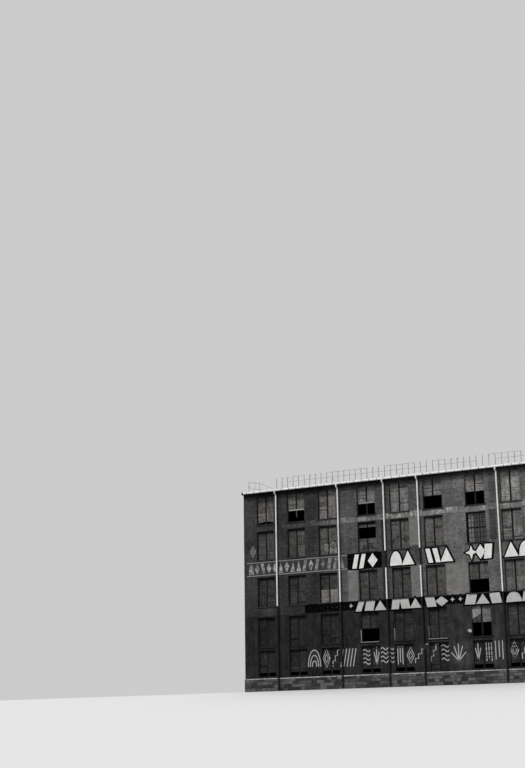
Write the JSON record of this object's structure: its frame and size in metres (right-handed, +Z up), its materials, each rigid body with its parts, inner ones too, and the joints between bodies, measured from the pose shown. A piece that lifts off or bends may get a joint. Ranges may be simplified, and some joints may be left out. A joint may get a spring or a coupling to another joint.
{
  "type": "brick factory building",
  "caption": "Brick mill block with rows of boarded windows in deep reveals, stone sills, low roof, eaves gutters with swan-necked downpipes and a worn roof railing.",
  "frame": {"origin": "middle of the footprint, on the ground", "axes": "+Z up, the front wall faces -Y, +X to the right along the front"},
  "size_m": [35.4, 16.136, 21.8125],
  "materials": {
    "brick": "weathered brick",
    "foundation": "rough stone",
    "pale_stone": "worn stone",
    "floor_timber": "bare old planks",
    "ground_slab": "worn concrete",
    "old_timber": "old dark paint",
    "boards": "weathered plywood",
    "roof_felt": "matt roofing felt",
    "white_metal": "chalky white paint",
    "rail_iron": "faded grey paint, rusty",
    "dark_iron": "dull dark iron",
    "window_glass": "dirty glass"
  },
  "bodies": {
    "root": {"front_plinth": "foundation", "back_plinth": "foundation", "end_plinths": "foundation", "stone_ledge": "pale_stone", "front_piers": "brick", "front_spandrels": "brick", "back_piers": "brick", "back_spandrels": "brick", "end_piers": "brick", "end_spandrels": "brick", "ground_floor": "ground_slab", "second_floor": "floor_timber", "third_floor": "floor_timber", "fourth_floor": "floor_timber", "fifth_floor": "floor_timber", "wall_plates": "floor_timber", "gables": "brick", "front_roof_slope": "roof_felt", "back_roof_slope": "roof_felt", "ridge_cap": "dark_iron", "fascias": "old_timber", "soffits": "old_timber", "gutters": "white_metal", "gutter_brackets": "dark_iron", "swan_necks": "white_metal", "downpipes": "white_metal", "pipe_shoes": "white_metal", "pipe_clips": "dark_iron", "railing_posts": "rail_iron", "bent_posts": "rail_iron", "railing_rails": "rail_iron", "fallen_railing": "rail_iron", "anchor_plates": "dark_iron", "yard_lamp": "white_metal", "front_sills": "pale_stone", "other_sills": "pale_stone", "front_frames": "old_timber", "other_frames": "old_timber", "front_boards_1": "boards", "front_boards_2": "boards", "front_boards_3": "boards", "front_boards_4": "boards", "front_boards_5": "boards", "other_boards": "boards", "sash_window": "old_timber", "sash_glass": "window_glass"}
  },
  "joints": []
}
